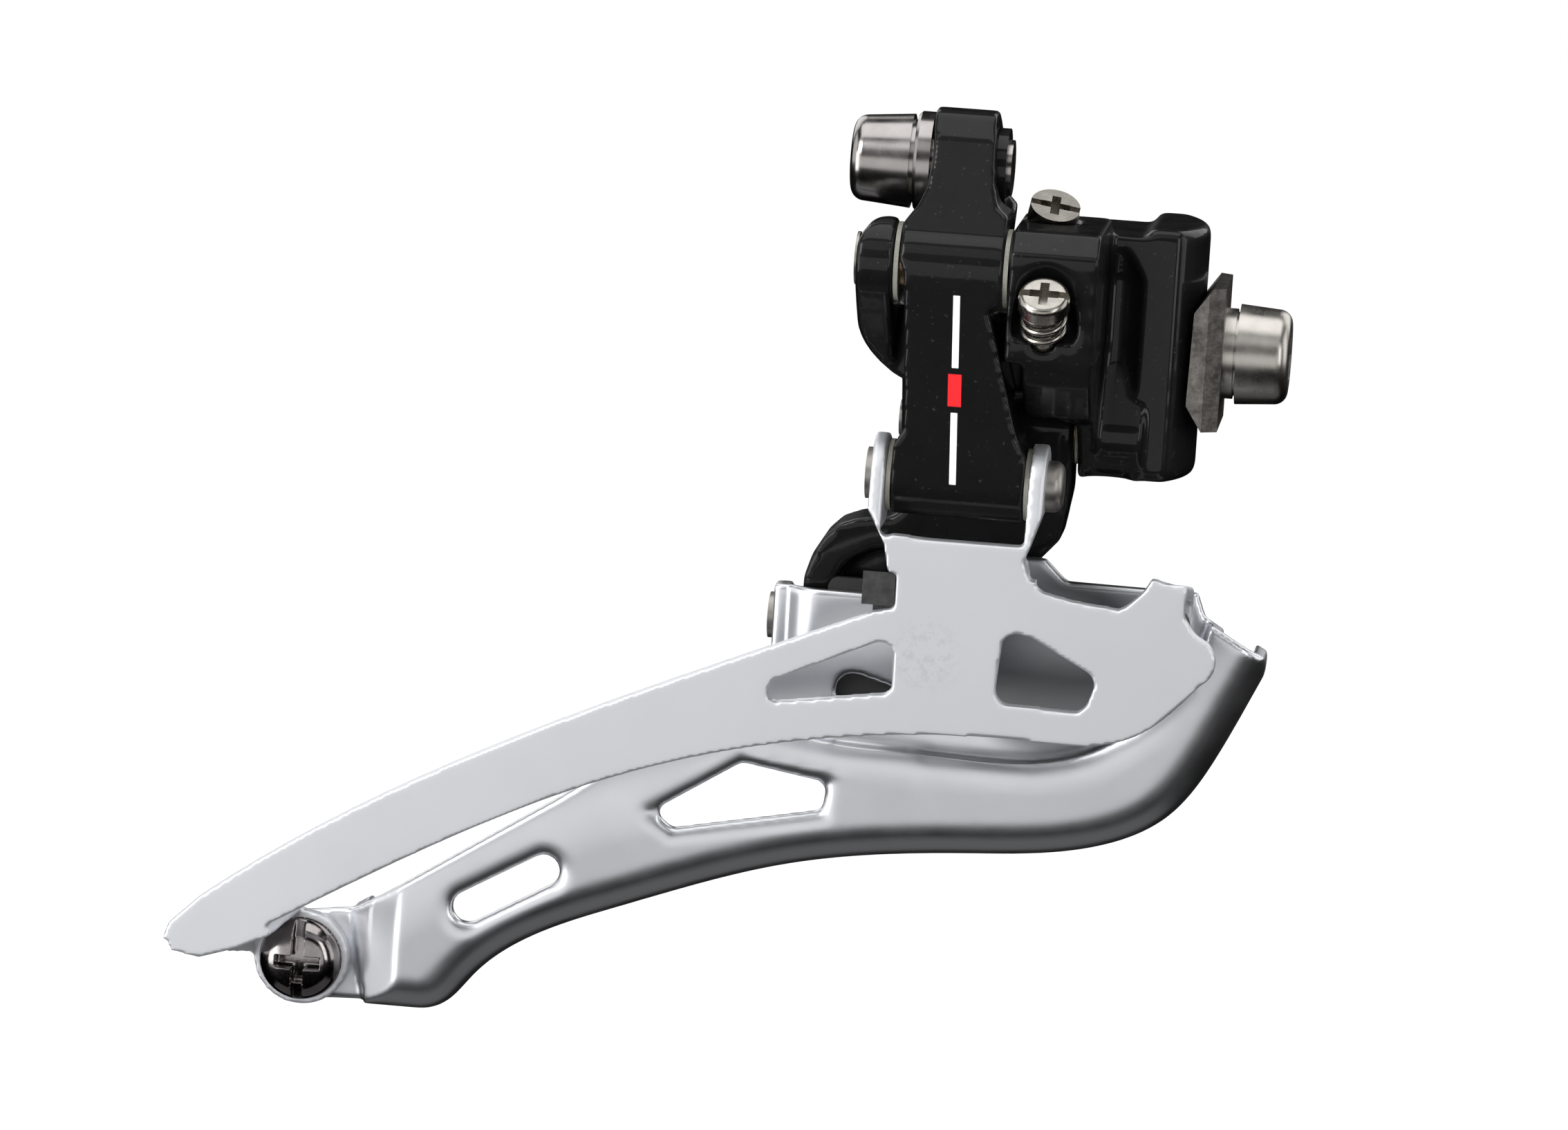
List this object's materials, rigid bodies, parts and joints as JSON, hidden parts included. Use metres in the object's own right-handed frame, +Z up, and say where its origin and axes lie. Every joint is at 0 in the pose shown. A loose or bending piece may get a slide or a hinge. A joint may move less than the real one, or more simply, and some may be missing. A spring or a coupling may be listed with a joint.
{
  "type": "front derailleur",
  "caption": "Bicycle front derailleur: hanger saddle body, parallel outer and inner links, cable arm with clamp bolt, and a two-plate chain cage with a tail screw.",
  "frame": {"origin": "where the fixing bolt's axis meets the nose of the hanger saddle", "axes": "+X forward along the fixing bolt toward its head, +Z up, -Y outward to the drive side; cage at its innermost place"},
  "size_m": [0.0969, 0.032, 0.0873],
  "materials": {
    "black_paint": "gloss",
    "satin_alloy": "satin",
    "bright_steel": "polished",
    "plain_steel": "turned",
    "dark_nickel": "polished",
    "grey_nylon": "matte",
    "bronze": "satin"
  },
  "bodies": {
    "body": {"body_casting": "black_paint", "upper_outer_pin": "bright_steel", "upper_inner_pin": "bright_steel", "upper_outer_thrust_washers": "grey_nylon", "upper_inner_thrust_washers": "grey_nylon", "low_limit_spring": "bright_steel", "high_limit_spring": "bright_steel"},
    "hanger_clamp": {"fixing_bolt": "bright_steel", "fixing_washer": "plain_steel", "fixing_flat_washer": "bright_steel"},
    "low_screw": {"low_limit_screw": "bright_steel"},
    "high_screw": {"high_limit_screw": "bright_steel"},
    "outer_arm": {"outer_link": "black_paint", "outer_link_bushes": "bronze", "cable_insert": "black_paint"},
    "cable_clamp": {"cable_bolt": "bright_steel", "cable_washer": "bright_steel"},
    "inner_arm": {"inner_link": "black_paint", "inner_link_bushes": "bronze"},
    "cage": {"outer_cage_plate": "satin_alloy", "inner_cage_plate": "satin_alloy", "rear_bridge": "plain_steel", "lower_outer_pin": "bright_steel", "lower_inner_pin": "bright_steel", "lower_thrust_washers": "grey_nylon", "tail_screw": "dark_nickel", "tail_nut": "bright_steel", "nose_rivet": "bright_steel", "return_spring": "bright_steel", "spring_rest": "grey_nylon"}
  },
  "joints": [
    {"name": "outer_link_swing", "type": "hinge", "parent": "body", "child": "outer_arm", "pos_m": [-0.0215, -0.018, 0.0086], "axis": [-1, 0, 0], "range_deg": [0, 38], "stiffness_Nm_per_rad": 0.05, "springref_deg": -34.38},
    {"name": "inner_link_swing", "type": "hinge", "parent": "body", "child": "inner_arm", "pos_m": [-0.017, -0.0045, -0.0074], "axis": [-1, 0, 0], "range_deg": [0, 38]},
    {"name": "cage_hinge", "type": "hinge", "parent": "outer_arm", "child": "cage", "pos_m": [-0.02, -0.016, -0.0108], "axis": [-1, 0, 0], "range_deg": [-38, 0], "deforming": ["return_spring"]},
    {"name": "cable_clamp_slide", "type": "slide", "parent": "outer_arm", "child": "cable_clamp", "axis": [-1, 0, 0], "range_m": [0, 0.0015]},
    {"name": "hanger_clamp_slide", "type": "slide", "parent": "body", "child": "hanger_clamp", "axis": [1, 0, 0], "range_m": [0, 0.005]},
    {"name": "low_limit_turn", "type": "hinge", "parent": "body", "child": "low_screw", "pos_m": [-0.013, -0.0235, 0.0074], "axis": [0, -0.6428, 0.766], "range_deg": [-720, 720]},
    {"name": "high_limit_turn", "type": "hinge", "parent": "body", "child": "high_screw", "pos_m": [-0.0133, -0.0122, 0.0138], "axis": [0.1736, -0.4924, 0.8529], "range_deg": [-720, 720]}
  ],
  "couplings": [
    {"joint": "inner_link_swing", "follows": "outer_link_swing", "ratio": 1},
    {"joint": "cage_hinge", "follows": "outer_link_swing", "ratio": -1}
  ]
}
